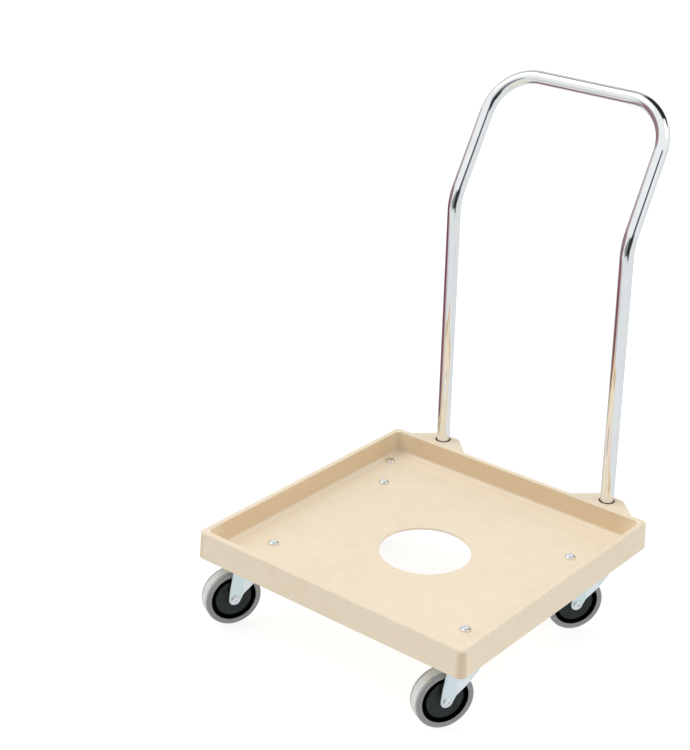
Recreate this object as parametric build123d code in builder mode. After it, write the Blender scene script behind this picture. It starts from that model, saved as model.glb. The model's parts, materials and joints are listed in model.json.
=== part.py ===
from build123d import *
import math
import os

os.makedirs("parts", exist_ok=True)

# ---------------------------------------------------------------------------
# Rolling tray for stacked square racks, with a push handle at the rear.
# Frame: millimetres, +Z up, origin on the ground below the tray's centre.
# +Y is the rear (handle side), -Y the front, +X the right, -X the left.
# ---------------------------------------------------------------------------

# tray
TRAY = 545.0            # outer side of the square tray at the rim
FLARE = 2.0             # each side wall leans out by this much towards its foot
RIM_Z = 178.0           # top of the rim above the ground
WALL_H = 49.0           # height of the side walls
RIM_W = 11.0            # width of the rim
CORNER_R = 10.0         # outer corner radius
POCKET_R = 10.0         # inner corner radius
FLOOR_DROP = 42.0       # rim to floor
FLOOR_T = 4.5           # thickness of the floor
COVE_R = 8.0            # cove between the floor and the side walls
HOLE_R = 79.0           # central drain hole
DISH_R = 238.0          # the floor sinks gently from here to the hole
DISH = 5.0              # how far it sinks
PAD_T = 2.0             # caster pad below the floor
RIB_T = 3.0             # underside ribs
SEAT_R = 10.5           # raised seat below each bolt head
SEAT_T = 0.4

# handle: points of one side's centre line, each side the mirror of the other
TUBE_R = 12.0
TUBE_WALL = 1.5
FOOT_POINT = (178.9, 291.8, 132.0)      # on the upright's line, in its socket
KNEE_POINT = (176.6, 280.2, 655.0)      # where it turns to lean back
TOP_POINT = (174.8, 401.3, 869.4)       # where it turns into the top bar
KNEE_R = 85.0
CORNER_BEND_R = 82.0
SOCKET_FLOOR_Z = 133.0  # bottom of the handle sockets
SOCKET_R = 12.25
MOUTH_R = 14.2
BOSS_X = 178.0
BOSS_Y = 311.5          # rear face of the socket bosses
BOSS_BASE = 62.0        # half width where a boss leaves the rear wall
BOSS_TOP = 23.0         # half width of a boss's rear face
SCREW_Z = 154.0

# casters: position of the swivel axis and trail angle of each
CASTERS = {
    "front_left": (-223.4, -201.0, 26.2),
    "front_right": (223.4, -201.0, 27.8),
    "rear_left": (-223.4, 180.0, 28.0),
    "rear_right": (223.4, 180.0, 32.7),
}
TRAIL = 31.0            # axle behind the swivel axis
WHEEL_R = 50.0
TYRE_IN_R = 40.2
TYRE_HALF = 13.5
HUB_HALF = 15.0
LEG_IN = 15.6           # inner face of a fork leg, from the wheel's middle
LEG_T = 2.6             # through the pressed swage
LEG_SHEET = 2.0
BOLT_DX = 22.5          # bolt position from the swivel axis
BOLT_DY = 38.0
BOLT_R = 4.0
PLATE_T = 3.0
BALL_R = 3.0
BALL_PITCH_R = 21.5
BALLS = 18

FLOOR_Z = RIM_Z - FLOOR_DROP
UNDER_Z = FLOOR_Z - FLOOR_T
FOOT_Z = RIM_Z - WALL_H
PLATE_TOP = UNDER_Z - PAD_T
PLATE_Z = PLATE_TOP - PLATE_T
BALL_Z = PLATE_Z - 6.5
CROWN_TOP = BALL_Z - 1.7
CROWN_T = 5.0
CROWN_Z = CROWN_TOP - CROWN_T
HOLE_TOP = FLOOR_Z - DISH     # floor height at the drain hole


# the frame's origin is below the middle of the whole object's bounding box,
# which is not below the tray's middle: the handle reaches out behind
ORIGIN_X = 0.0
ORIGIN_Y = 67.53


def keep(shape, name):
    placed = shape.moved(Location((-ORIGIN_X, -ORIGIN_Y, 0)))
    placed.label = name
    export_step(placed, "parts/" + name + ".step")


def bolt_spots():
    # one bolt towards the tray's middle and one towards its corner
    spots = []
    for x, y, _ in CASTERS.values():
        sx = 1 if x > 0 else -1
        sy = 1 if y > 0 else -1
        spots.append((x - sx * BOLT_DX, y - sy * BOLT_DY))
        spots.append((x + sx * BOLT_DX, y + sy * BOLT_DY))
    return spots


BOLTS = bolt_spots()


def mirror(point, sx):
    return (sx * point[0], point[1], point[2])


def on_upright(z, sx):
    # point of an upright's centre line at a height
    share = (z - FOOT_POINT[2]) / (KNEE_POINT[2] - FOOT_POINT[2])
    return tuple(a + share * (b - a) for a, b in zip(mirror(FOOT_POINT, sx), mirror(KNEE_POINT, sx)))


def upright_plane(z, sx):
    direction = Vector(*mirror(KNEE_POINT, sx)) - Vector(*mirror(FOOT_POINT, sx))
    return Plane(origin=on_upright(z, sx), z_dir=tuple(direction.normalized()))

# ---------------------------------------------------------------------------
# Tray: one moulding. Rim, side walls, floor with its cove and shallow fall to
# the drain hole, ribs and caster pads below, and two handle sockets behind.
# ---------------------------------------------------------------------------
with BuildPart() as tray:
    with BuildSketch(Plane.XY.offset(FOOT_Z)):
        RectangleRounded(TRAY + 2 * FLARE, TRAY + 2 * FLARE, CORNER_R + FLARE)
    with BuildSketch(Plane.XY.offset(RIM_Z)):
        RectangleRounded(TRAY, TRAY, CORNER_R)
    loft()

    # socket bosses: a trapezium with rounded rear corners, flush with the rim
    with BuildSketch(Plane.XY.offset(FOOT_Z)):
        for sx in (-1, 1):
            with BuildLine():
                Polyline(
                    (sx * BOSS_X - BOSS_BASE - 14.0, TRAY / 2 - 14.0),
                    (sx * BOSS_X - BOSS_TOP, BOSS_Y),
                    (sx * BOSS_X + BOSS_TOP, BOSS_Y),
                    (sx * BOSS_X + BOSS_BASE + 14.0, TRAY / 2 - 14.0),
                    close=True,
                )
            make_face()
    extrude(amount=WALL_H)
    boss_corners = tray.edges().filter_by(Axis.Z).filter_by_position(
        Axis.Y, BOSS_Y - 0.5, BOSS_Y + 0.5)
    fillet(boss_corners, 20.0)
    fillet(tray.faces().sort_by(Axis.Z)[-1].outer_wire().edges(), 3.0)
    fillet(tray.faces().sort_by(Axis.Z)[0].outer_wire().edges(), 1.2)

    # pocket for the racks
    with BuildSketch(Plane.XY.offset(RIM_Z)):
        RectangleRounded(TRAY - 2 * RIM_W, TRAY - 2 * RIM_W, POCKET_R)
    extrude(amount=-FLOOR_DROP, taper=0.8, mode=Mode.SUBTRACT)
    floor_face = tray.faces().filter_by(Axis.Z).filter_by_position(
        Axis.Z, FLOOR_Z - 0.1, FLOOR_Z + 0.1)[0]
    fillet(floor_face.outer_wire().edges(), COVE_R)
    rim_face = tray.faces().filter_by(Axis.Z).filter_by_position(
        Axis.Z, RIM_Z - 0.1, RIM_Z + 0.1)[0]
    fillet(rim_face.inner_wires()[0].edges(), 2.0)

    # shallow recess below the floor, inside the walls
    with BuildSketch(Plane.XY.offset(FOOT_Z)):
        RectangleRounded(TRAY - 2 * RIM_W, TRAY - 2 * RIM_W, POCKET_R)
    extrude(amount=UNDER_Z - FOOT_Z, mode=Mode.SUBTRACT)

    # ribs below the floor
    with BuildSketch(Plane.XY.offset(FOOT_Z + 0.6)):
        for c in (-160.0, -96.0, 96.0, 160.0):
            with Locations((0, c)):
                Rectangle(TRAY - 2 * RIM_W + 4, RIB_T)
            with Locations((c, 0)):
                Rectangle(RIB_T, TRAY - 2 * RIM_W + 4)
        with Locations((0, 0)):
            Rectangle(TRAY - 2 * RIM_W + 4, RIB_T)
            Rectangle(RIB_T, TRAY - 2 * RIM_W + 4)
    extrude(amount=UNDER_Z - FOOT_Z)

    # underside of the sunken middle
    with BuildSketch(Plane.XZ):
        with BuildLine():
            ThreePointArc(
                (DISH_R, UNDER_Z),
                ((DISH_R + HOLE_R) / 2, UNDER_Z - (DISH - 0.4) / 4),
                (HOLE_R, UNDER_Z - DISH + 0.4),
            )
            Polyline((HOLE_R, UNDER_Z - DISH + 0.4), (HOLE_R, UNDER_Z + 1.0),
                     (DISH_R, UNDER_Z + 1.0), (DISH_R, UNDER_Z))
        make_face()
    revolve(axis=Axis.Z)

    # top of the sunken middle
    with BuildSketch(Plane.XZ):
        with BuildLine():
            ThreePointArc(
                (DISH_R, FLOOR_Z),
                ((DISH_R + HOLE_R) / 2, FLOOR_Z - DISH / 4),
                (HOLE_R, HOLE_TOP),
            )
            Polyline((HOLE_R, HOLE_TOP), (HOLE_R, FLOOR_Z + 3.0),
                     (DISH_R, FLOOR_Z + 3.0), (DISH_R, FLOOR_Z))
        make_face()
    revolve(axis=Axis.Z, mode=Mode.SUBTRACT)

    # drain hole, with eased edges
    with BuildSketch(Plane.XZ):
        with BuildLine():
            Line((0, FOOT_Z - 5.0), (HOLE_R + 0.9, FOOT_Z - 5.0))
            Line((HOLE_R + 0.9, FOOT_Z - 5.0), (HOLE_R + 0.9, UNDER_Z - DISH + 0.4))
            ThreePointArc(
                (HOLE_R + 0.9, UNDER_Z - DISH + 0.4),
                (HOLE_R + 0.25, UNDER_Z - DISH + 0.7),
                (HOLE_R, UNDER_Z - DISH + 1.3),
            )
            Line((HOLE_R, UNDER_Z - DISH + 1.3), (HOLE_R, HOLE_TOP - 1.2))
            ThreePointArc(
                (HOLE_R, HOLE_TOP - 1.2), (HOLE_R + 0.4, HOLE_TOP - 0.3), (HOLE_R + 1.4, HOLE_TOP + 0.15))
            Polyline((HOLE_R + 1.4, HOLE_TOP + 0.15), (HOLE_R + 1.4, RIM_Z), (0, RIM_Z), (0, FOOT_Z - 5.0))
        make_face()
    revolve(axis=Axis.Z, mode=Mode.SUBTRACT)

    # caster seats: room for the plates, up to the pads
    with BuildSketch(Plane.XY.offset(FOOT_Z - 1.0)):
        for x, y, _ in CASTERS.values():
            with Locations((x, y)):
                Rectangle(72.0, 100.0)
    extrude(amount=PLATE_TOP - FOOT_Z + 1.0, mode=Mode.SUBTRACT)
    with BuildSketch(Plane.XY.offset(PLATE_TOP)):
        for x, y, _ in CASTERS.values():
            with Locations((x, y)):
                Rectangle(73.5, 101.5)
    extrude(amount=PAD_T + 0.5)
    with BuildSketch(Plane.XY.offset(PLATE_TOP - 1.0)):
        with Locations(*BOLTS):
            Circle(BOLT_R + 0.3)
    extrude(amount=FLOOR_T + PAD_T + 3.0, mode=Mode.SUBTRACT)

    # raised seats for the bolt heads
    with BuildSketch(Plane.XY.offset(FLOOR_Z - 1.0)):
        with Locations(*BOLTS):
            Circle(SEAT_R)
            Circle(BOLT_R + 0.3, mode=Mode.SUBTRACT)
    extrude(amount=1.0 + SEAT_T)

    # handle sockets, wider at the mouth, and their cross holes
    for sx in (-1, 1):
        with BuildSketch(upright_plane(SOCKET_FLOOR_Z, sx)):
            Circle(SOCKET_R)
        extrude(amount=RIM_Z - SOCKET_FLOOR_Z + 3.0, mode=Mode.SUBTRACT)
        with BuildSketch(upright_plane(RIM_Z - 6.0, sx)):
            Circle(MOUTH_R)
        extrude(amount=9.0, mode=Mode.SUBTRACT)
        with BuildSketch(Plane.XZ.offset(-(BOSS_Y + 1.0))):
            with Locations((on_upright(SCREW_Z, sx)[0], SCREW_Z)):
                Circle(3.1)
        extrude(amount=16.0, mode=Mode.SUBTRACT)

tray.part.label = "tray"
keep(tray.part, "tray")

# ---------------------------------------------------------------------------
# Handle: one bent tube. Two uprights, a knee in each, two leaning arms and a
# top bar.
# ---------------------------------------------------------------------------
TUBE_FOOT_Z = SOCKET_FLOOR_Z + 3.5

with BuildPart() as handle_tube:
    with BuildLine() as handle_path:
        FilletPolyline(
            on_upright(TUBE_FOOT_Z, -1),
            mirror(KNEE_POINT, -1),
            mirror(TOP_POINT, -1),
            mirror(TOP_POINT, 1),
            mirror(KNEE_POINT, 1),
            on_upright(TUBE_FOOT_Z, 1),
            radius=[KNEE_R, CORNER_BEND_R, CORNER_BEND_R, KNEE_R],
        )
    with BuildSketch(upright_plane(TUBE_FOOT_Z, -1)):
        Circle(TUBE_R)
        Circle(TUBE_R - TUBE_WALL, mode=Mode.SUBTRACT)
    sweep(path=handle_path.wires()[0])
    # cross holes for the locking screws
    for sx in (-1, 1):
        spot = on_upright(SCREW_Z, sx)
        with BuildSketch(Plane.XZ.offset(-(spot[1] + TUBE_R + 2.0))):
            with Locations((spot[0], SCREW_Z)):
                Circle(3.3)
        extrude(amount=TUBE_R + 2.0, mode=Mode.SUBTRACT)

handle_tube.part.label = "handle_tube"
keep(handle_tube.part, "handle_tube")

# plugs that close the tube's two lower ends
with BuildPart() as handle_end_plugs:
    for sx in (-1, 1):
        with BuildSketch(upright_plane(SOCKET_FLOOR_Z, sx)):
            Circle(TUBE_R - 0.3)
        extrude(amount=TUBE_FOOT_Z - SOCKET_FLOOR_Z)
        with BuildSketch(upright_plane(TUBE_FOOT_Z, sx)):
            Circle(TUBE_R - TUBE_WALL)
            Circle(TUBE_R - TUBE_WALL - 2.0, mode=Mode.SUBTRACT)
        extrude(amount=9.0)

handle_end_plugs.part.label = "handle_end_plugs"
keep(handle_end_plugs.part, "handle_end_plugs")

# screws that lock the handle in its sockets, from the rear
with BuildPart() as handle_screws:
    for sx in (-1, 1):
        with BuildSketch(Plane.XZ.offset(-(BOSS_Y + 1.3))):
            with Locations((on_upright(SCREW_Z, sx)[0], SCREW_Z)):
                RegularPolygon(5.8, 6)
        extrude(amount=-4.0)
        with BuildSketch(Plane.XZ.offset(-(BOSS_Y + 1.3))):
            with Locations((on_upright(SCREW_Z, sx)[0], SCREW_Z)):
                Circle(3.0)
        extrude(amount=20.0)
    chamfer(handle_screws.faces().sort_by(Axis.Y)[-2:].edges(), 0.5)

handle_screws.part.label = "handle_screws"
keep(handle_screws.part, "handle_screws")

with BuildPart() as handle_screw_washers:
    for sx in (-1, 1):
        with BuildSketch(Plane.XZ.offset(-(BOSS_Y + 1.3))):
            with Locations((on_upright(SCREW_Z, sx)[0], SCREW_Z)):
                Circle(7.5)
                Circle(3.2, mode=Mode.SUBTRACT)
        extrude(amount=1.3)

handle_screw_washers.part.label = "handle_screw_washers"
keep(handle_screw_washers.part, "handle_screw_washers")

# ---------------------------------------------------------------------------
# Caster bolts: domed heads on the tray's floor, washers and nuts below.
# ---------------------------------------------------------------------------
DOME_R = 8.8
DOME_H = 3.7
NUT_TOP = PLATE_Z - 1.6
NUT_H = 6.5

HEAD_Z = FLOOR_Z + SEAT_T

with BuildPart() as caster_bolts:
    with BuildSketch(Plane.XY.offset(NUT_TOP - NUT_H - 1.5)):
        with Locations(*BOLTS):
            Circle(BOLT_R)
    extrude(amount=HEAD_Z - NUT_TOP + NUT_H + 1.5)
    with BuildSketch(Plane.XY.offset(HEAD_Z)):
        with Locations(*BOLTS):
            Circle(DOME_R)
    extrude(amount=DOME_H)
    head_edges = caster_bolts.edges().filter_by(GeomType.CIRCLE).filter_by_position(
        Axis.Z, HEAD_Z + DOME_H - 0.1, HEAD_Z + DOME_H + 0.1)
    fillet(head_edges, 3.0)

caster_bolts.part.label = "caster_bolts"
keep(caster_bolts.part, "caster_bolts")

with BuildPart() as caster_bolt_washers:
    with BuildSketch(Plane.XY.offset(PLATE_Z - 1.6)):
        with Locations(*BOLTS):
            Circle(7.8)
            Circle(BOLT_R + 0.2, mode=Mode.SUBTRACT)
    extrude(amount=1.6)

caster_bolt_washers.part.label = "caster_bolt_washers"
keep(caster_bolt_washers.part, "caster_bolt_washers")

with BuildPart() as caster_bolt_nuts:
    with BuildSketch(Plane.XY.offset(NUT_TOP - NUT_H)):
        with Locations(*BOLTS):
            RegularPolygon(7.3, 6)
            Circle(BOLT_R, mode=Mode.SUBTRACT)
    extrude(amount=NUT_H)

caster_bolt_nuts.part.label = "caster_bolt_nuts"
keep(caster_bolt_nuts.part, "caster_bolt_nuts")

# ---------------------------------------------------------------------------
# One caster, drawn with its swivel axis on Z, its axle along X and its wheel
# trailing towards -Y. Each piece is then set at the four places.
# ---------------------------------------------------------------------------

# top plate with four holes and the upper ball race pressed into it
with BuildPart() as plate:
    with BuildSketch(Plane.XY.offset(PLATE_Z)):
        RectangleRounded(66.0, 94.0, 6.0)
    extrude(amount=PLATE_T)
    with BuildSketch(Plane.XY.offset(BALL_Z + 1.7)):
        Circle(28.5)
    extrude(amount=PLATE_Z - BALL_Z - 1.7)
    fillet(plate.edges().filter_by(GeomType.CIRCLE).filter_by(
        lambda e: abs(e.radius - 28.5) < 0.01).sort_by(Axis.Z)[0], 1.2)
    with BuildSketch(Plane.XY.offset(PLATE_Z - 1.0)):
        for dx in (-BOLT_DX, BOLT_DX):
            for dy in (-BOLT_DY, BOLT_DY):
                with Locations((dx, dy)):
                    Circle(BOLT_R + 0.3)
    extrude(amount=PLATE_T + 2.0, mode=Mode.SUBTRACT)
    # race groove
    with BuildSketch(Plane.XZ):
        with Locations((BALL_PITCH_R, BALL_Z)):
            Circle(BALL_R + 0.1)
    revolve(axis=Axis.Z, mode=Mode.SUBTRACT)
    # seat of the king pin
    with BuildSketch(Plane.XY.offset(BALL_Z)):
        Circle(6.0)
    extrude(amount=30.0, mode=Mode.SUBTRACT)
    with BuildSketch(Plane.XY.offset(PLATE_TOP - 1.6)):
        Circle(9.5)
    extrude(amount=3.0, mode=Mode.SUBTRACT)

# king pin: head let into the plate, shoulder below the fork's crown
with BuildPart() as king_pin:
    with BuildSketch(Plane.XY.offset(PLATE_TOP - 1.6)):
        Circle(9.5)
    extrude(amount=1.5)
    with BuildSketch(Plane.XY.offset(CROWN_Z - 0.3)):
        Circle(6.0)
    extrude(amount=PLATE_TOP - 1.6 - CROWN_Z + 0.3)
    with BuildSketch(Plane.XY.offset(CROWN_Z - 4.3)):
        Circle(10.0)
    extrude(amount=4.0)
    fillet(king_pin.edges().filter_by(GeomType.CIRCLE).sort_by(Axis.Z)[0], 1.2)

# ring of swivel balls
with BuildPart() as balls:
    with PolarLocations(BALL_PITCH_R, BALLS):
        with Locations((0, 0, BALL_Z)):
            Sphere(BALL_R)

# fork: round crown with the lower race, and two tapering legs
with BuildPart() as fork:
    with BuildSketch(Plane.XY.offset(CROWN_Z)):
        Circle(31.0)
    extrude(amount=CROWN_T)
    fillet(fork.edges().filter_by(GeomType.CIRCLE).sort_by(Axis.Z)[-1], 1.5)
    for side in (-1, 1):
        # a leg widens upwards from its rounded end at the axle
        inner = side * LEG_IN if side > 0 else -LEG_IN - LEG_SHEET
        with BuildSketch(Plane.YZ.offset(inner)):
            with BuildLine():
                Polyline(
                    (-TRAIL - 10.2, WHEEL_R + 2.0), (-39.2, 72.4), (-36.0, 90.0),
                    (-31.5, CROWN_Z + LEG_SHEET), (25.5, CROWN_Z + LEG_SHEET), (25.5, 104.0),
                    (22.0, 96.0), (8.0, 79.3), (-6.0, 66.5), (-15.4, 58.5),
                    (-TRAIL + 10.1, WHEEL_R - 2.0),
                    close=True,
                )
            leg = make_face()
            fillet(leg.vertices().filter_by_position(Axis.Y, 55.0, 105.0), 9.0)
            with Locations((-TRAIL, WHEEL_R)):
                Circle(10.2)
        extrude(amount=LEG_SHEET)
        # its rear strip is pressed proud of the rest
        outer = side * (LEG_IN + LEG_SHEET) if side > 0 else -LEG_IN - LEG_T
        with BuildSketch(Plane.YZ.offset(outer)):
            with BuildLine():
                Polyline(
                    (-TRAIL - 8.3, WHEEL_R + 1.6), (-37.2, 72.0), (-34.0, 90.0),
                    (-30.5, 107.0), (-16.5, 107.0), (-16.0, 62.0), (-TRAIL + 8.3, WHEEL_R - 1.0),
                    close=True,
                )
            make_face()
            with Locations((-TRAIL, WHEEL_R)):
                Circle(8.4)
        extrude(amount=LEG_T - LEG_SHEET)
    # shoulders that carry the legs into the crown
    with BuildSketch(Plane.XY.offset(CROWN_Z)):
        with Locations((0, -3.0)):
            Rectangle(2 * (LEG_IN + LEG_SHEET), 57.0)
    extrude(amount=LEG_SHEET)
    fillet(fork.edges().filter_by(Axis.Y).filter_by_position(
        Axis.Z, CROWN_Z + LEG_SHEET - 0.1, CROWN_Z + LEG_SHEET + 0.1), 1.6)
    # lower race
    with BuildSketch(Plane.XZ):
        with Locations((BALL_PITCH_R, BALL_Z)):
            Circle(BALL_R + 0.1)
    revolve(axis=Axis.Z, mode=Mode.SUBTRACT)
    # holes for the king pin and the axle
    with BuildSketch(Plane.XY.offset(CROWN_Z - 1.0)):
        Circle(6.06)
    extrude(amount=CROWN_T + 2.0, mode=Mode.SUBTRACT)
    with BuildSketch(Plane.YZ.offset(-40.0)):
        with Locations((-TRAIL, WHEEL_R)):
            Circle(4.15)
    extrude(amount=80.0, mode=Mode.SUBTRACT)

# axle bolt, nut and the spacer sleeve clamped between the legs
with BuildPart() as axle_bolt:
    with BuildSketch(Plane.YZ.offset(LEG_IN + LEG_T)):
        with Locations((-TRAIL, WHEEL_R)):
            Circle(6.6)
    extrude(amount=2.6)
    fillet(axle_bolt.faces().sort_by(Axis.X)[-1].edges(), 1.1)
    with BuildSketch(Plane.YZ.offset(LEG_IN + LEG_T + 1.0)):
        with Locations((-TRAIL, WHEEL_R)):
            RegularPolygon(3.4, 6, rotation=12)
    extrude(amount=3.0, mode=Mode.SUBTRACT)
    with BuildSketch(Plane.YZ.offset(-(LEG_IN + LEG_T + 8.0))):
        with Locations((-TRAIL, WHEEL_R)):
            Circle(4.0)
    extrude(amount=2 * (LEG_IN + LEG_T) + 8.0)

with BuildPart() as axle_nut:
    with BuildSketch(Plane.YZ.offset(-(LEG_IN + LEG_T + 6.5))):
        with Locations((-TRAIL, WHEEL_R)):
            RegularPolygon(7.4, 6, rotation=5)
            Circle(4.0, mode=Mode.SUBTRACT)
    extrude(amount=6.5)
    chamfer(axle_nut.faces().sort_by(Axis.X)[0].outer_wire().edges(), 0.8)

with BuildPart() as axle_sleeve:
    with BuildSketch(Plane.YZ.offset(-LEG_IN)):
        with Locations((-TRAIL, WHEEL_R)):
            Circle(6.2)
            Circle(4.1, mode=Mode.SUBTRACT)
    extrude(amount=2 * LEG_IN)

# wheel, turned about its axle: plain bush, hub and tyre
WHEEL_AXIS = Axis((0, -TRAIL, WHEEL_R), (1, 0, 0))
WHEEL_PLANE = Plane(origin=(0, -TRAIL, WHEEL_R), x_dir=(1, 0, 0), z_dir=(0, -1, 0))

with BuildPart() as bush:
    with BuildSketch(Plane.YZ.offset(-HUB_HALF)):
        with Locations((-TRAIL, WHEEL_R)):
            Circle(8.4)
            Circle(6.26, mode=Mode.SUBTRACT)
    extrude(amount=2 * HUB_HALF)

with BuildPart() as hub:
    with BuildSketch(WHEEL_PLANE):
        with BuildLine():
            Polyline(
                (-HUB_HALF, 8.4), (-HUB_HALF, 12.2), (-HUB_HALF + 1.0, 13.2),
                (-11.4, 14.6), (-10.6, 16.2), (-10.6, 22.5), (-11.1, 23.2), (-11.1, 24.2), (-10.6, 24.9),
                (-10.6, 29.5), (-11.1, 30.2), (-11.1, 31.2), (-10.6, 31.9), (-10.2, 32.8),
                (-5.6, 33.8), (-5.6, 37.2), (-11.2, 38.2),
                (-12.0, 38.8), (-12.3, TYRE_IN_R),
                (12.3, TYRE_IN_R), (12.0, 38.8), (11.2, 38.2),
                (5.6, 37.2), (5.6, 33.8), (10.2, 32.8), (10.6, 31.9), (11.1, 31.2), (11.1, 30.2), (10.6, 29.5),
                (10.6, 24.9), (11.1, 24.2), (11.1, 23.2), (10.6, 22.5), (10.6, 16.2), (11.4, 14.6),
                (HUB_HALF - 1.0, 13.2), (HUB_HALF, 12.2), (HUB_HALF, 8.4),
                close=True,
            )
        make_face()
    revolve(axis=WHEEL_AXIS)

with BuildPart() as tyre:
    with BuildSketch(WHEEL_PLANE):
        with BuildLine():
            Line((-12.3, TYRE_IN_R), (-12.4, TYRE_IN_R + 0.7))
            ThreePointArc((-12.4, TYRE_IN_R + 0.7), (-13.2, 43.2), (-TYRE_HALF, 46.4))
            ThreePointArc((-TYRE_HALF, 46.4), (-12.7, 48.6), (-10.6, 49.6))
            ThreePointArc((-10.6, 49.6), (0, WHEEL_R), (10.6, 49.6))
            ThreePointArc((10.6, 49.6), (12.7, 48.6), (TYRE_HALF, 46.4))
            ThreePointArc((TYRE_HALF, 46.4), (13.2, 43.2), (12.4, TYRE_IN_R + 0.7))
            Line((12.4, TYRE_IN_R + 0.7), (12.3, TYRE_IN_R))
            Line((12.3, TYRE_IN_R), (-12.3, TYRE_IN_R))
        make_face()
    revolve(axis=WHEEL_AXIS)

FIXED = {"caster_plate": plate}
ROUND = {"king_pin": king_pin, "swivel_balls": balls}
TURNED = {
    "fork": fork, "axle_bolt": axle_bolt, "axle_nut": axle_nut, "axle_sleeve": axle_sleeve,
    "wheel_bush": bush, "wheel_hub": hub, "wheel_tyre": tyre,
}

for place, (cx, cy, trail_angle) in CASTERS.items():
    for group, angle in ((FIXED, 0.0), (ROUND, 0.0), (TURNED, -trail_angle)):
        for stem, piece in group.items():
            keep(piece.part.moved(Location((cx, cy, 0), (0, 0, angle))), stem + "_" + place)
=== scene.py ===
import json
import math
import random

import bmesh
import bpy
from mathutils import Matrix, Vector


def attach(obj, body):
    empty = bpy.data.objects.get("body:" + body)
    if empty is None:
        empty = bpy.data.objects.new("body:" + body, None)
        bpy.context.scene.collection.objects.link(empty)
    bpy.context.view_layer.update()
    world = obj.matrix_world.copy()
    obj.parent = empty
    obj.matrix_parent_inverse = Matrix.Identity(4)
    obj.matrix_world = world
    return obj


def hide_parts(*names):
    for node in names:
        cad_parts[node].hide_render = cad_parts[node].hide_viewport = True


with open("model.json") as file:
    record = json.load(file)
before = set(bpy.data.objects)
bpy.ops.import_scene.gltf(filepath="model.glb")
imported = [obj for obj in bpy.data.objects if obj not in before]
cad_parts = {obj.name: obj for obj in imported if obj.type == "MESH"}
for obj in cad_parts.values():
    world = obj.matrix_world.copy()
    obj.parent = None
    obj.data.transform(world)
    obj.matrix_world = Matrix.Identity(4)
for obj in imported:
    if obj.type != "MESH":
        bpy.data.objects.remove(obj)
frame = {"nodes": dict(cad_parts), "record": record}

random.seed(7)
scene = bpy.context.scene
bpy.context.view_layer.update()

# the frame's origin sits below the middle of the bounding box; the tray's
# middle is here
TRAY = Vector((0.0, -0.06753, 0.0))
MM = 0.001


# --------------------------------------------------------------------------
# camera
# --------------------------------------------------------------------------
def make_camera():
    az, el, roll = math.radians(38.6032), math.radians(21.4839), math.radians(1.9798)
    f_px, cx, cy = 1723.0288, 345.0, 300.0
    t = Vector((0.1382451, 0.3839334, 2.924602))
    fwd = Vector((-math.sin(az) * math.cos(el), math.cos(az) * math.cos(el), -math.sin(el)))
    right = Vector((math.cos(az), math.sin(az), 0.0))
    up = right.cross(fwd)
    r2 = right * math.cos(roll) + up * math.sin(roll)
    u2 = -right * math.sin(roll) + up * math.cos(roll)
    centre = -(r2 * t.x - u2 * t.y + fwd * t.z)
    centre += Vector((0.0, 0.0, 0.178)) + TRAY
    data = bpy.data.cameras.new("camera")
    cam = bpy.data.objects.new("camera", data)
    scene.collection.objects.link(cam)
    cam.matrix_world = Matrix((
        (r2.x, u2.x, -fwd.x, centre.x),
        (r2.y, u2.y, -fwd.y, centre.y),
        (r2.z, u2.z, -fwd.z, centre.z),
        (0, 0, 0, 1),
    ))
    data.sensor_fit = "AUTO"
    data.sensor_width = 36.0
    data.lens = f_px * 36.0 / 750.0
    data.shift_x = (345.0 - cx) / 750.0
    data.shift_y = (cy - 375.0) / 750.0
    data.clip_start = 0.05
    data.clip_end = 60.0
    scene.camera = cam
    return cam


camera = make_camera()


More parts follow.
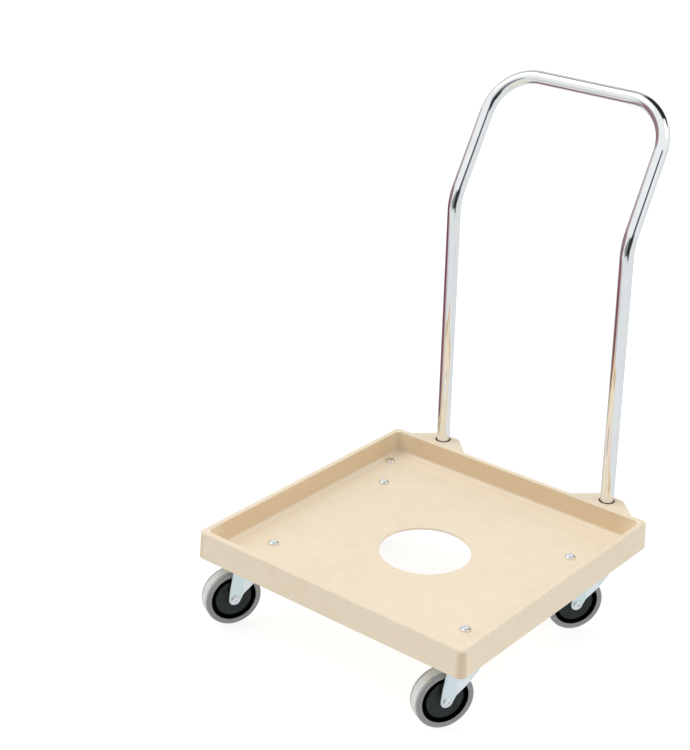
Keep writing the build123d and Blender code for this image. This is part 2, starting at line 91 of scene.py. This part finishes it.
# --------------------------------------------------------------------------
# node helpers
# --------------------------------------------------------------------------
class Mat:
    def __init__(self, name):
        self.mat = bpy.data.materials.new(name)
        self.mat.use_nodes = True
        self.tree = self.mat.node_tree
        self.tree.nodes.clear()
        self.out = self.tree.nodes.new("ShaderNodeOutputMaterial")
        self.bsdf = self.tree.nodes.new("ShaderNodeBsdfPrincipled")
        self.tree.links.new(self.bsdf.outputs["BSDF"], self.out.inputs["Surface"])
        self.coord = self.tree.nodes.new("ShaderNodeTexCoord").outputs["Object"]

    def set(self, **values):
        for key, value in values.items():
            self.bsdf.inputs[key.replace("_", " ")].default_value = value
        return self

    def link(self, a, b):
        self.tree.links.new(a, b)

    def node(self, kind, **props):
        n = self.tree.nodes.new(kind)
        for key, value in props.items():
            setattr(n, key, value)
        return n

    def mapping(self, scale=(1, 1, 1), rotation=(0, 0, 0), source=None):
        n = self.node("ShaderNodeMapping")
        n.inputs["Scale"].default_value = scale
        n.inputs["Rotation"].default_value = rotation
        self.link(source or self.coord, n.inputs["Vector"])
        return n.outputs["Vector"]

    def noise(self, scale, detail=4.0, rough=0.55, vector=None, distortion=0.0):
        n = self.node("ShaderNodeTexNoise")
        n.inputs["Scale"].default_value = scale
        n.inputs["Detail"].default_value = detail
        n.inputs["Roughness"].default_value = rough
        n.inputs["Distortion"].default_value = distortion
        self.link(vector or self.coord, n.inputs["Vector"])
        return n.outputs["Fac"]

    def voronoi(self, scale, feature="F1", vector=None):
        n = self.node("ShaderNodeTexVoronoi", feature=feature)
        n.inputs["Scale"].default_value = scale
        self.link(vector or self.coord, n.inputs["Vector"])
        return n.outputs["Distance"]

    def ramp(self, fac, stops):
        n = self.node("ShaderNodeValToRGB")
        el = n.color_ramp.elements
        while len(el) < len(stops):
            el.new(0.5)
        for e, (pos, col) in zip(el, stops):
            e.position = pos
            e.color = (*col, 1.0) if len(col) == 3 else col
        self.link(fac, n.inputs["Fac"])
        return n.outputs["Color"]

    def remap(self, value, a, b, c, d):
        n = self.node("ShaderNodeMapRange")
        n.inputs["From Min"].default_value = a
        n.inputs["From Max"].default_value = b
        n.inputs["To Min"].default_value = c
        n.inputs["To Max"].default_value = d
        self.link(value, n.inputs["Value"])
        return n.outputs["Result"]

    def mix(self, fac, a, b, mode="MIX"):
        n = self.node("ShaderNodeMix", data_type="RGBA", blend_type=mode)
        for socket, value in ((n.inputs[0], fac), (n.inputs[6], a), (n.inputs[7], b)):
            if isinstance(value, (int, float)):
                socket.default_value = value
            elif isinstance(value, tuple):
                socket.default_value = (*value, 1.0)
            else:
                self.link(value, socket)
        return n.outputs[2]

    def math(self, op, a, b=None):
        n = self.node("ShaderNodeMath", operation=op)
        for socket, value in ((n.inputs[0], a), (n.inputs[1], b)):
            if value is None:
                continue
            if isinstance(value, (int, float)):
                socket.default_value = value
            else:
                self.link(value, socket)
        return n.outputs[0]

    def bump(self, height, strength, distance, normal=None):
        n = self.node("ShaderNodeBump")
        n.inputs["Strength"].default_value = strength
        n.inputs["Distance"].default_value = distance
        self.link(height, n.inputs["Height"])
        if normal is not None:
            self.link(normal, n.inputs["Normal"])
        return n.outputs["Normal"]

    def into(self, name, socket):
        self.link(socket, self.bsdf.inputs[name])
        return self


def scratches(m, scale, stretch, threshold, angle):
    """Fine straight marks: noise drawn out along one direction."""
    v = m.mapping(scale=(scale, scale * stretch, scale), rotation=(0, 0, angle))
    n = m.noise(1.0, 3.0, 0.6, v, 0.4)
    return m.remap(n, threshold, threshold + 0.06, 0.0, 1.0)


def around_x(m):
    """Distance from the piece's own X axis, in metres."""
    sep = m.node("ShaderNodeSeparateXYZ")
    m.link(m.coord, sep.inputs[0])
    y, z = sep.outputs["Y"], sep.outputs["Z"]
    return m.math("SQRT", m.math("ADD", m.math("MULTIPLY", y, y), m.math("MULTIPLY", z, z)))


# --------------------------------------------------------------------------
# materials
# --------------------------------------------------------------------------
def shaded_pocket_walls(m):
    """1 on the inward-facing walls of the tray's pocket, where shade is painted, 0 elsewhere."""
    sep = m.node("ShaderNodeSeparateXYZ")
    m.link(m.coord, sep.inputs[0])
    x = m.math("ABSOLUTE", sep.outputs["X"])
    y = m.math("ABSOLUTE", m.math("SUBTRACT", sep.outputs["Y"], TRAY.y))
    reach = m.math("MAXIMUM", x, y)
    inside = m.remap(reach, 0.2620, 0.2632, 1.0, 0.0)
    outer = m.remap(reach, 0.2505, 0.2575, 0.0, 1.0)
    high = m.remap(sep.outputs["Z"], 0.1365, 0.1425, 0.0, 1.0)
    low = m.remap(sep.outputs["Z"], 0.1765, 0.1776, 1.0, 0.0)
    return m.math("MULTIPLY", m.math("MULTIPLY", inside, outer), m.math("MULTIPLY", m.math("MULTIPLY", high, low), 0.8))


def shaded_tray_corners(m):
    """1 on the rounded outer corners below the rim, where shade is painted, 0 elsewhere."""
    sep = m.node("ShaderNodeSeparateXYZ")
    m.link(m.coord, sep.inputs[0])
    x = m.math("ABSOLUTE", sep.outputs["X"])
    y = m.math("ABSOLUTE", m.math("SUBTRACT", sep.outputs["Y"], TRAY.y))
    both = m.remap(m.math("MINIMUM", x, y), 0.2590, 0.2660, 0.0, 1.0)
    return m.math("MULTIPLY", both, m.remap(sep.outputs["Z"], 0.1715, 0.1755, 1.0, 0.0))


def lit_pocket_cove(m):
    """1 on the cove and the edge of the floor next to the walls, where light is painted, 0 elsewhere."""
    sep = m.node("ShaderNodeSeparateXYZ")
    m.link(m.coord, sep.inputs[0])
    x = m.math("ABSOLUTE", sep.outputs["X"])
    y = m.math("ABSOLUTE", m.math("SUBTRACT", sep.outputs["Y"], TRAY.y))
    reach = m.math("MAXIMUM", x, y)
    near = m.math("MULTIPLY", m.remap(reach, 0.2200, 0.2520, 0.0, 1.0), m.remap(reach, 0.2600, 0.2620, 1.0, 0.0))
    return m.math("MULTIPLY", near, m.remap(sep.outputs["Z"], 0.1385, 0.1425, 1.0, 0.0))


def lit_pocket_corners(m):
    """1 in the four inner corners of the pocket, where light is painted, 0 elsewhere."""
    sep = m.node("ShaderNodeSeparateXYZ")
    m.link(m.coord, sep.inputs[0])
    x = m.math("ABSOLUTE", sep.outputs["X"])
    y = m.math("ABSOLUTE", m.math("SUBTRACT", sep.outputs["Y"], TRAY.y))
    both = m.remap(m.math("MINIMUM", x, y), 0.2150, 0.2520, 0.0, 1.0)
    inside = m.remap(m.math("MAXIMUM", x, y), 0.2620, 0.2632, 1.0, 0.0)
    return m.math("MULTIPLY", both, inside)


def shaded_socket_mouths(m):
    """1 in the mouths of the two handle sockets, where shade is painted, 0 elsewhere."""
    sep = m.node("ShaderNodeSeparateXYZ")
    m.link(m.coord, sep.inputs[0])
    x = m.math("SUBTRACT", m.math("ABSOLUTE", sep.outputs["X"]), 0.17870)
    y = m.math("SUBTRACT", sep.outputs["Y"], 0.29080 + TRAY.y)
    r = m.math("SQRT", m.math("ADD", m.math("MULTIPLY", x, x), m.math("MULTIPLY", y, y)))
    return m.math("MULTIPLY", m.remap(r, 0.0143, 0.0150, 1.0, 0.0), m.remap(sep.outputs["Z"], 0.145, 0.150, 0.0, 1.0))


def tray_plastic():
    m = Mat("tray_plastic")
    fine = m.noise(900.0, 3.0, 0.6)
    mottle = m.noise(42.0, 6.0, 0.62)
    wide = m.noise(4.0, 3.0, 0.5)
    base = m.ramp(mottle, [(0.30, (0.738, 0.624, 0.464)), (0.72, (0.780, 0.674, 0.518))])
    base = m.mix(m.remap(wide, 0.35, 0.7, 0.0, 0.40), base, (0.800, 0.704, 0.552))
    # painted shade: the walls of the pocket are painted a deeper, more saturated tone than its floor, for the shade
    # that falls on them
    base = m.mix(shaded_pocket_walls(m), base, (0.775, 0.590, 0.382))
    # painted light: the inner corners of the pocket are painted lighter, against the shade that gathers there
    base = m.mix(m.math("MULTIPLY", lit_pocket_corners(m), 0.85), base, (0.875, 0.755, 0.580))
    # painted light: the cove and the floor's edge next to the walls are painted lighter, against the shade at the foot
    # of the walls
    base = m.mix(m.math("MULTIPLY", lit_pocket_cove(m), 0.85), base, (0.885, 0.785, 0.625))
    # painted shade: the socket mouths are painted dark brown, for the shade in the gap around the tube
    base = m.mix(m.math("MULTIPLY", shaded_socket_mouths(m), 0.85), base, (0.360, 0.270, 0.175))
    # painted shade: the rounded outer corners are painted darker, for the shade of corners turned away from both side
    # lights
    base = m.mix(m.math("MULTIPLY", shaded_tray_corners(m), 0.8), base, (0.655, 0.520, 0.355))
    base = m.mix(m.remap(fine, 0.55, 0.75, 0.0, 0.10), base, (0.66, 0.50, 0.34))
    marks = m.math("MAXIMUM", scratches(m, 6.0, 55.0, 0.66, 0.7), scratches(m, 7.0, 60.0, 0.67, -0.9))
    base = m.mix(m.math("MULTIPLY", marks, 0.10), base, (0.90, 0.80, 0.66))
    m.into("Base Color", base)
    m.into("Roughness", m.remap(m.math("ADD", mottle, m.math("MULTIPLY", marks, 0.3)), 0.3, 0.9, 0.38, 0.54))
    m.set(Specular_IOR_Level=0.42)
    n = m.bump(fine, 0.10, 0.0004)
    n = m.bump(m.noise(220.0, 4.0, 0.5), 0.14, 0.0005, n)
    n = m.bump(marks, 0.05, 0.0002, n)
    m.into("Normal", n)
    return m.mat


def chrome():
    m = Mat("handle_chrome")
    haze = m.noise(24.0, 4.0, 0.6)
    smear = m.noise(1.0, 4.0, 0.6, m.mapping(scale=(90.0, 90.0, 9.0)))
    m.into("Base Color", m.ramp(haze, [(0.3, (0.86, 0.875, 0.89)), (0.7, (0.91, 0.92, 0.93))]))
    m.into("Roughness", m.remap(smear, 0.3, 0.75, 0.012, 0.050))
    m.set(Metallic=1.0, Specular_Tint=(0.80, 0.81, 0.83, 1.0))
    m.into("Normal", m.bump(m.noise(260.0, 2.0, 0.5), 0.012, 0.0002))
    return m.mat


def shaded_swages(m):
    """1 on the raised strips pressed into the fork legs, where shade is painted, 0 elsewhere."""
    sep = m.node("ShaderNodeSeparateXYZ")
    m.link(m.coord, sep.inputs[0])
    strip = None
    for joint in frame["record"]["behaviour"]["joints"]:
        if not joint["name"].startswith("roll_"):
            continue
        arm = m.node("ShaderNodeVectorMath", operation="SUBTRACT")
        m.link(m.coord, arm.inputs[0])
        arm.inputs[1].default_value = joint["pos_m"]
        along = m.node("ShaderNodeVectorMath", operation="DOT_PRODUCT")
        m.link(arm.outputs["Vector"], along.inputs[0])
        along.inputs[1].default_value = joint["axis"]
        reach = m.node("ShaderNodeVectorMath", operation="LENGTH")
        m.link(arm.outputs["Vector"], reach.inputs[0])
        raised = m.remap(m.math("ABSOLUTE", along.outputs["Value"]), 0.01768, 0.01800, 0.0, 1.0)
        mine = m.math("MULTIPLY", raised, m.remap(reach.outputs["Value"], 0.085, 0.095, 1.0, 0.0))
        strip = mine if strip is None else m.math("MAXIMUM", strip, mine)
    return m.math("MULTIPLY", strip, m.remap(sep.outputs["Z"], 0.1105, 0.1125, 1.0, 0.0))


def zinc(name="zinc_plate", tint=(0.87, 0.935, 0.975), low=0.26, high=0.46, metal=0.60):
    m = Mat(name)
    grain = m.noise(1.0, 4.0, 0.6, m.mapping(scale=(220.0, 220.0, 30.0)))
    cloud = m.noise(60.0, 5.0, 0.6)
    dark = tuple(c * 0.88 for c in tint)
    base = m.ramp(cloud, [(0.3, dark), (0.7, tint)])
    if name == "zinc_plate":
        # painted shade: the pressed strips are painted a darker, bluer tone, for the shade their differently angled
        # faces take
        base = m.mix(shaded_swages(m), base, (0.71, 0.83, 0.86))
    m.into("Base Color", base)
    m.into("Roughness", m.remap(m.math("ADD", m.math("MULTIPLY", grain, 0.6), m.math("MULTIPLY", cloud, 0.4)), 0.3, 0.75, low, high))
    m.set(Metallic=metal)
    n = m.bump(grain, 0.05, 0.0002)
    m.into("Normal", m.bump(m.noise(900.0, 3.0, 0.6), 0.05, 0.0002, n))
    return m.mat


def hub_plastic():
    """A dull dish and a groove around it painted black as painted shade: both follow the distance from the axle."""
    m = Mat("hub_plastic")
    r = around_x(m)
    cloud = m.noise(90.0, 4.0, 0.6)
    dish = m.ramp(cloud, [(0.3, (0.013, 0.019, 0.018)), (0.7, (0.022, 0.030, 0.029))])
    # painted shade: the groove round the dish is painted near black, with little specular, for the shade inside it
    shaded_groove = m.remap(r, 0.0315, 0.0326, 0.0, 1.0)
    m.into("Base Color", m.mix(shaded_groove, dish, (0.0006, 0.0006, 0.0009)))
    rough = m.remap(cloud, 0.3, 0.7, 0.34, 0.48)
    m.into("Roughness", m.math("SUBTRACT", rough, m.math("MULTIPLY", shaded_groove, 0.10)))
    m.into("Specular IOR Level", m.remap(shaded_groove, 0.0, 1.0, 0.20, 0.025))
    m.into("Normal", m.bump(m.noise(1400.0, 3.0, 0.5), 0.05, 0.0002))
    return m.mat


def tyre_rubber():
    """Mid-grey sidewall that turns into a paler tread at the shoulder; the paler tread is painted light."""
    m = Mat("tyre_rubber")
    r = around_x(m)
    cloud = m.noise(70.0, 5.0, 0.6)
    speck = m.noise(1500.0, 2.0, 0.5)
    wall = m.ramp(cloud, [(0.3, (0.255, 0.262, 0.268)), (0.7, (0.292, 0.300, 0.306))])
    wall = m.mix(m.remap(speck, 0.58, 0.75, 0.0, 0.20), wall, (0.19, 0.19, 0.20))
    tread = m.ramp(cloud, [(0.3, (0.60, 0.62, 0.59)), (0.7, (0.68, 0.69, 0.67))])
    shoulder = m.ramp(cloud, [(0.3, (0.31, 0.32, 0.315)), (0.7, (0.36, 0.37, 0.36))])
    # painted light: past the shoulder the tread is painted pale, for the light its outward face catches; the noise
    # wobbles the border
    tread_lit_radius = m.math("ADD", r, m.math("MULTIPLY", m.math("SUBTRACT", cloud, 0.5), 0.00012))
    base = m.mix(m.remap(tread_lit_radius, 0.0484, 0.0494, 0.0, 1.0), wall, shoulder)
    m.into("Base Color", m.mix(m.remap(tread_lit_radius, 0.04972, 0.04990, 0.0, 1.0), base, tread))
    m.into("Roughness", m.remap(cloud, 0.3, 0.7, 0.46, 0.60))
    n = m.bump(speck, 0.10, 0.0002)
    m.into("Normal", m.bump(m.noise(420.0, 4.0, 0.6), 0.08, 0.0003, n))
    return m.mat


def plain_plastic(name, low, high, rough):
    m = Mat(name)
    cloud = m.noise(120.0, 4.0, 0.6)
    m.into("Base Color", m.ramp(cloud, [(0.3, low), (0.7, high)]))
    m.into("Roughness", m.remap(cloud, 0.3, 0.7, rough - 0.05, rough + 0.08))
    m.into("Normal", m.bump(m.noise(1200.0, 3.0, 0.5), 0.08, 0.0002))
    return m.mat


MATERIALS = {
    "tray_plastic": tray_plastic(),
    "handle_chrome": chrome(),
    "plug_plastic": plain_plastic("plug_plastic", (0.012, 0.012, 0.012), (0.03, 0.03, 0.03), 0.5),
    "hub_plastic": hub_plastic(),
    "tyre_rubber": tyre_rubber(),
    "bush_plastic": plain_plastic("bush_plastic", (0.52, 0.52, 0.48), (0.62, 0.62, 0.58), 0.45),
    "zinc_plate": zinc(),
    "bare_steel": zinc("bare_steel", (0.56, 0.56, 0.55), 0.28, 0.5, 1.0),
    "fastener_steel": zinc("fastener_steel", (0.84, 0.86, 0.88), 0.10, 0.20, 1.0),
}

slots = {s["node"]: s["material_slot"] for s in frame["record"]["subparts"]}
for name, obj in frame["nodes"].items():
    mat = MATERIALS[slots[name]]
    if not obj.data.materials:
        obj.data.materials.append(mat)
    for i in range(len(obj.data.materials)):
        obj.data.materials[i] = mat

BODY_OF = {n: b for b, nodes in frame["record"]["behaviour"]["bodies"].items() for n in nodes}
JOINTS = {j["name"]: j for j in frame["record"]["behaviour"]["joints"]}
PLACES = ("front_left", "front_right", "rear_left", "rear_right")


def add_piece(bm, name, nodes, matrix=None, sharp_deg=32.0):
    """Turns a finished mesh into the piece that stands for the given nodes."""
    bmesh.ops.remove_doubles(bm, verts=bm.verts, dist=1e-7)
    bmesh.ops.recalc_face_normals(bm, faces=bm.faces)
    mesh = bpy.data.meshes.new(name)
    bm.to_mesh(mesh)
    bm.free()
    for poly in mesh.polygons:
        poly.use_smooth = True
    mesh.set_sharp_from_angle(angle=math.radians(sharp_deg))
    obj = bpy.data.objects.new(name, mesh)
    scene.collection.objects.link(obj)
    if matrix is not None:
        obj.matrix_world = matrix
    slot_name = slots[nodes[0]]
    mesh.materials.append(MATERIALS[slot_name])
    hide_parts(*nodes)
    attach(obj, BODY_OF[nodes[0]])
    return obj


def soften(points, rounds=2, closed=False):
    """Cuts the corners of a line of points, which keeps its ends."""
    for _ in range(rounds):
        out = [] if closed else [points[0]]
        last = len(points) if closed else len(points) - 1
        for i in range(last):
            p, q = points[i], points[(i + 1) % len(points)]
            a = tuple(0.75 * u + 0.25 * v for u, v in zip(p, q))
            b = tuple(0.25 * u + 0.75 * v for u, v in zip(p, q))
            out += [a, b]
        if not closed:
            out.append(points[-1])
            out[1] = tuple(0.5 * (u + v) for u, v in zip(points[0], points[1])) if rounds < 1 else out[1]
        points = out
    return points


def lathe(bm, profile, steps):
    """Revolves a closed profile of (x, r) in millimetres about the X axis."""
    rings = []
    for k in range(steps):
        a = 2.0 * math.pi * k / steps
        rings.append([bm.verts.new((x * MM, r * MM * math.cos(a), r * MM * math.sin(a))) for x, r in profile])
    n = len(profile)
    for k in range(steps):
        p, q = rings[k], rings[(k + 1) % steps]
        for i in range(n):
            j = (i + 1) % n
            bm.faces.new((p[i], p[j], q[j], q[i]))


# --------------------------------------------------------------------------
# handle: the same bent tube, swept finely enough for clean reflections
# --------------------------------------------------------------------------
FOOT, KNEE, TOP = (178.9, 291.8, 132.0), (176.6, 280.2, 655.0), (174.8, 401.3, 869.4)
KNEE_R, CORNER_R, TUBE_R, WALL, FOOT_Z = 85.0, 82.0, 12.0, 1.5, 136.5


def tube_line():
    def side(p, sx):
        return Vector((sx * p[0], p[1], p[2]))

    def foot(sx):
        a, b = side(FOOT, sx), side(KNEE, sx)
        return a + (b - a) * ((FOOT_Z - a.z) / (b.z - a.z))

    corners = [foot(-1), side(KNEE, -1), side(TOP, -1), side(TOP, 1), side(KNEE, 1), foot(1)]
    radii = [0, KNEE_R, CORNER_R, CORNER_R, KNEE_R, 0]
    line = [corners[0]]

    def run_to(p):
        a = line[-1]
        n = max(1, int((p - a).length / 18.0))
        for i in range(1, n + 1):
            line.append(a + (p - a) * (i / n))

    for i in range(1, len(corners) - 1):
        v = corners[i]
        u, w = (v - corners[i - 1]).normalized(), (corners[i + 1] - v).normalized()
        turn = u.angle(w)
        reach = radii[i] * math.tan(turn / 2)
        start = v - u * reach
        run_to(start)
        axis = u.cross(w).normalized()
        middle = start + axis.cross(u) * radii[i]
        n = max(4, int(math.degrees(turn) / 1.5))
        for k in range(1, n + 1):
            line.append(middle + Matrix.Rotation(turn * k / n, 3, axis) @ (start - middle))
    run_to(corners[-1])
    return line


def make_handle():
    line = tube_line()
    bm = bmesh.new()
    tangent = []
    for i in range(len(line)):
        a, b = line[max(0, i - 1)], line[min(len(line) - 1, i + 1)]
        tangent.append((b - a).normalized())
    side = Vector((1, 0, 0))
    side = (side - tangent[0] * side.dot(tangent[0])).normalized()
    steps = 72
    outer, inner = [], []
    for i, p in enumerate(line):
        if i:
            side = (tangent[i - 1].rotation_difference(tangent[i]) @ side).normalized()
            side = (side - tangent[i] * side.dot(tangent[i])).normalized()
        up = tangent[i].cross(side)
        place = p * MM + TRAY
        for rings, r in ((outer, TUBE_R), (inner, TUBE_R - WALL)):
            rings.append([
                bm.verts.new(place + (side * math.cos(t) + up * math.sin(t)) * (r * MM))
                for t in (2 * math.pi * k / steps for k in range(steps))
            ])
    for i in range(len(line) - 1):
        for k in range(steps):
            j = (k + 1) % steps
            bm.faces.new((outer[i][k], outer[i][j], outer[i + 1][j], outer[i + 1][k]))
            bm.faces.new((inner[i][k], inner[i + 1][k], inner[i + 1][j], inner[i][j]))
    for i in (0, len(line) - 1):
        for k in range(steps):
            j = (k + 1) % steps
            bm.faces.new((outer[i][k], inner[i][k], inner[i][j], outer[i][j]))
    return add_piece(bm, "handle_tube_chromed", ["handle_tube"], sharp_deg=50.0)


make_handle()


# --------------------------------------------------------------------------
# wheels: turned profiles with their rings, lips and shoulders
# --------------------------------------------------------------------------
def wheel_place(place):
    joint = JOINTS["roll_" + place]
    axis = Vector(joint["axis"])
    turn = math.atan2(axis.y, axis.x)
    return Matrix.Translation(Vector(joint["pos_m"])) @ Matrix.Rotation(turn, 4, "Z")


TYRE_SIDE = [
    (12.30, 40.20), (12.38, 40.55), (12.75, 40.90), (12.98, 41.5), (13.12, 42.6), (13.22, 43.7), (13.16, 44.1),
    (13.18, 44.5), (13.32, 44.8), (13.42, 45.6), (13.50, 46.6), (13.42, 47.5), (13.05, 48.4),
    (12.2, 49.15), (11.0, 49.55), (9.4, 49.75), (6.0, 49.92), (2.6, 49.99), (0.7, 50.0), (0.35, 49.93),
]
HUB_SIDE = [
    (15.0, 8.40), (15.0, 11.5), (14.8, 12.2), (14.3, 12.9), (12.6, 13.6), (11.4, 14.4), (10.8, 15.4), (10.6, 16.8),
    (10.6, 22.2), (10.75, 22.7), (11.1, 23.1), (11.1, 24.0), (10.75, 24.4), (10.6, 24.9),
    (10.6, 29.2), (10.75, 29.7), (11.1, 30.1), (11.1, 31.0), (10.8, 31.5), (10.5, 32.2), (9.9, 32.9),
    (8.0, 33.5), (6.2, 34.0), (5.6, 34.7), (5.6, 36.6), (6.2, 37.3), (9.0, 37.9),
    (11.2, 38.3), (11.9, 38.8), (12.2, 39.4), (12.3, 40.20),
]


def whole(side):
    return soften(side + [(-x, r) for x, r in reversed(side)], 1)


def make_wheel(place):
    matrix = wheel_place(place)
    bm = bmesh.new()
    lathe(bm, whole(TYRE_SIDE), 160)
    add_piece(bm, "wheel_tyre_moulded_" + place, ["wheel_tyre_" + place], matrix, 40.0)
    bm = bmesh.new()
    lathe(bm, whole(HUB_SIDE), 128)
    add_piece(bm, "wheel_hub_moulded_" + place, ["wheel_hub_" + place], matrix, 40.0)


for place in PLACES:
    make_wheel(place)


# --------------------------------------------------------------------------
# stage and light
# --------------------------------------------------------------------------
def stage_material():
    m = Mat("stage")
    m.into("Base Color", m.ramp(m.noise(1.2, 3.0, 0.5), [(0.3, (0.275, 0.275, 0.275)), (0.7, (0.29, 0.29, 0.29))]))
    m.into("Roughness", m.remap(m.noise(40.0, 3.0, 0.5), 0.3, 0.7, 0.82, 0.9))
    m.set(Specular_IOR_Level=0.15, Emission_Color=(1.0, 1.0, 1.0, 1.0), Emission_Strength=0.79)
    return m.mat


def make_floor():
    bm = bmesh.new()
    bmesh.ops.create_circle(bm, cap_ends=True, cap_tris=True, segments=96, radius=6.0)
    mesh = bpy.data.meshes.new("floor")
    bm.to_mesh(mesh)
    bm.free()
    floor = bpy.data.objects.new("floor", mesh)
    scene.collection.objects.link(floor)
    floor.location.z = -0.0002
    floor.visible_glossy = False
    mesh.materials.append(stage_material())
    return floor


make_floor()


def sun(name, azimuth, elevation, strength, angle, color=(1, 1, 1)):
    """A soft distant light that comes from an azimuth measured from the front towards the right."""
    data = bpy.data.lights.new(name, "SUN")
    data.energy = strength
    data.angle = math.radians(angle)
    data.color = color
    obj = bpy.data.objects.new(name, data)
    scene.collection.objects.link(obj)
    a, e = math.radians(azimuth), math.radians(elevation)
    source = Vector((math.sin(a) * math.cos(e), -math.cos(a) * math.cos(e), math.sin(e)))
    obj.rotation_euler = (-source).to_track_quat("-Z", "Y").to_euler()
    obj.location = source * 4.0
    return obj


sun("key", -58.0, 52.0, 0.68, 36.0)
sun("side", 112.0, 46.0, 0.45, 30.0)


# soft patches of the studio: azimuth from the front towards the right and
# elevation of the middle, half width, half height, tilt, strength, colour
PATCHES = (
    (31.3, 6.0, 49.0, 17.0, 5.0, 0.97, (0.010, 0.013, 0.012)),
    (48.6, -9.1, 10.9, 16.4, 78.7, 0.80, (0.009, 0.014, 0.012)),
    (59.0, 23.5, 13.7, 8.0, -18.0, 0.92, (0.030, 0.038, 0.038)),
    (161.1, 56.0, 27.5, 34.5, 0.2, 0.98, (0.006, 0.008, 0.006)),
    (-180.9, 30.7, 17.5, 15.2, 43.8, 0.94, (0.010, 0.013, 0.013)),
    (-131.5, 51.7, 16.0, 8.0, -7.8, 0.85, (0.18, 0.18, 0.17)),
    (-108.4, -7.0, 73.8, 11.0, -24.4, 0.91, (0.21, 0.030, 0.033)),
    (-70.9, -3.1, 21.9, 37.7, -62.1, 0.82, (0.20, 0.066, 0.078)),
    (-75.1, -55.2, 26.3, 13.8, 54.8, 0.90, (0.22, 0.060, 0.070)),
    (2.9, 5.9, 24.5, 17.4, 55.8, 0.60, (0.36, 0.38, 0.38)),
    (-163.8, 32.4, 36.9, 4.0, 30.0, 0.45, (0.22, 0.22, 0.20)),
    (-111.7, 35.1, 14.5, 11.8, -23.0, 0.50, (0.28, 0.29, 0.30)),
)


def make_world():
    """An even pale studio with the darker patches that bright metal shows."""
    world = bpy.data.worlds.new("world")
    scene.world = world
    world.use_nodes = True
    tree = world.node_tree
    tree.nodes.clear()
    out = tree.nodes.new("ShaderNodeOutputWorld")
    bg = tree.nodes.new("ShaderNodeBackground")
    tree.links.new(bg.outputs[0], out.inputs[0])
    coord = tree.nodes.new("ShaderNodeTexCoord").outputs["Generated"]

    def plug(socket, value):
        if isinstance(value, (int, float)):
            socket.default_value = value
        elif isinstance(value, tuple):
            socket.default_value = (*value, 1.0)
        else:
            tree.links.new(value, socket)

    def calc(op, a, b=0.0):
        n = tree.nodes.new("ShaderNodeMath")
        n.operation = op
        plug(n.inputs[0], a)
        plug(n.inputs[1], b)
        return n.outputs[0]

    def along(v):
        n = tree.nodes.new("ShaderNodeVectorMath")
        n.operation = "DOT_PRODUCT"
        tree.links.new(coord, n.inputs[0])
        n.inputs[1].default_value = v
        return n.outputs["Value"]

    def smooth(value, a, b):
        n = tree.nodes.new("ShaderNodeMapRange")
        n.interpolation_type = "SMOOTHSTEP"
        n.inputs["From Min"].default_value = a
        n.inputs["From Max"].default_value = b
        tree.links.new(value, n.inputs["Value"])
        return n.outputs["Result"]

    def blend(fac, a, b):
        n = tree.nodes.new("ShaderNodeMix")
        n.data_type = "RGBA"
        plug(n.inputs[0], fac)
        plug(n.inputs[6], a)
        plug(n.inputs[7], b)
        return n.outputs[2]

    def patch(azimuth, elevation, half_w, half_h, tilt):
        """1 inside an oval part of the sky, 0 outside it."""
        a, e, t = math.radians(azimuth), math.radians(elevation), math.radians(tilt)
        c = Vector((math.sin(a) * math.cos(e), -math.cos(a) * math.cos(e), math.sin(e)))
        u = Vector((math.cos(a), math.sin(a), 0.0))
        v = Vector((-math.sin(a) * math.sin(e), math.cos(a) * math.sin(e), math.cos(e)))
        u, v = u * math.cos(t) + v * math.sin(t), v * math.cos(t) - u * math.sin(t)
        p = calc("MULTIPLY", along(u), 1.0 / math.sin(math.radians(half_w)))
        q = calc("MULTIPLY", along(v), 1.0 / math.sin(math.radians(half_h)))
        m = calc("SQRT", calc("ADD", calc("MULTIPLY", p, p), calc("MULTIPLY", q, q)))
        return calc("MULTIPLY", smooth(m, 1.15, 0.85), calc("GREATER_THAN", along(c), 0.0))

    sep = tree.nodes.new("ShaderNodeSeparateXYZ")
    tree.links.new(coord, sep.inputs[0])
    color = blend(smooth(sep.outputs["Z"], -0.12, 0.12), (0.800, 0.826, 0.832), (0.927, 0.944, 0.949))
    # the light on dull surfaces: most of it from above, least from where the eye stands
    above = calc("ADD", calc("MULTIPLY", smooth(sep.outputs["Z"], -0.1, 0.9), 0.32), 0.81)
    side = calc("SUBTRACT", 1.0, calc("MULTIPLY", smooth(along(Vector((0.7071, -0.7071, 0.0))), 0.15, 1.0), 0.68))
    tone = calc("MULTIPLY", above, side)
    even = tree.nodes.new("ShaderNodeCombineXYZ")
    for axis, level in (("X", 0.985), ("Y", 0.985), ("Z", 0.985)):
        plug(even.inputs[axis], calc("MULTIPLY", tone, level))
    even = even.outputs[0]
    for az, el, w, h, tilt, strength, tone in PATCHES:
        color = blend(calc("MULTIPLY", patch(az, el, w, h, tilt), strength), color, tone)
    # the patches belong to the reflections; the room's light itself is even,
    # and behind the object the eye sees a plain pale wall
    rays = tree.nodes.new("ShaderNodeLightPath")
    color = blend(rays.outputs["Is Glossy Ray"], even, color)
    seen = rays.outputs["Is Camera Ray"]
    plug(bg.inputs["Color"], blend(seen, color, (1.0, 1.0, 1.0)))
    bg.inputs["Strength"].default_value = 1.0


make_world()
scene.view_settings.view_transform = "Standard"
scene.view_settings.look = "None"
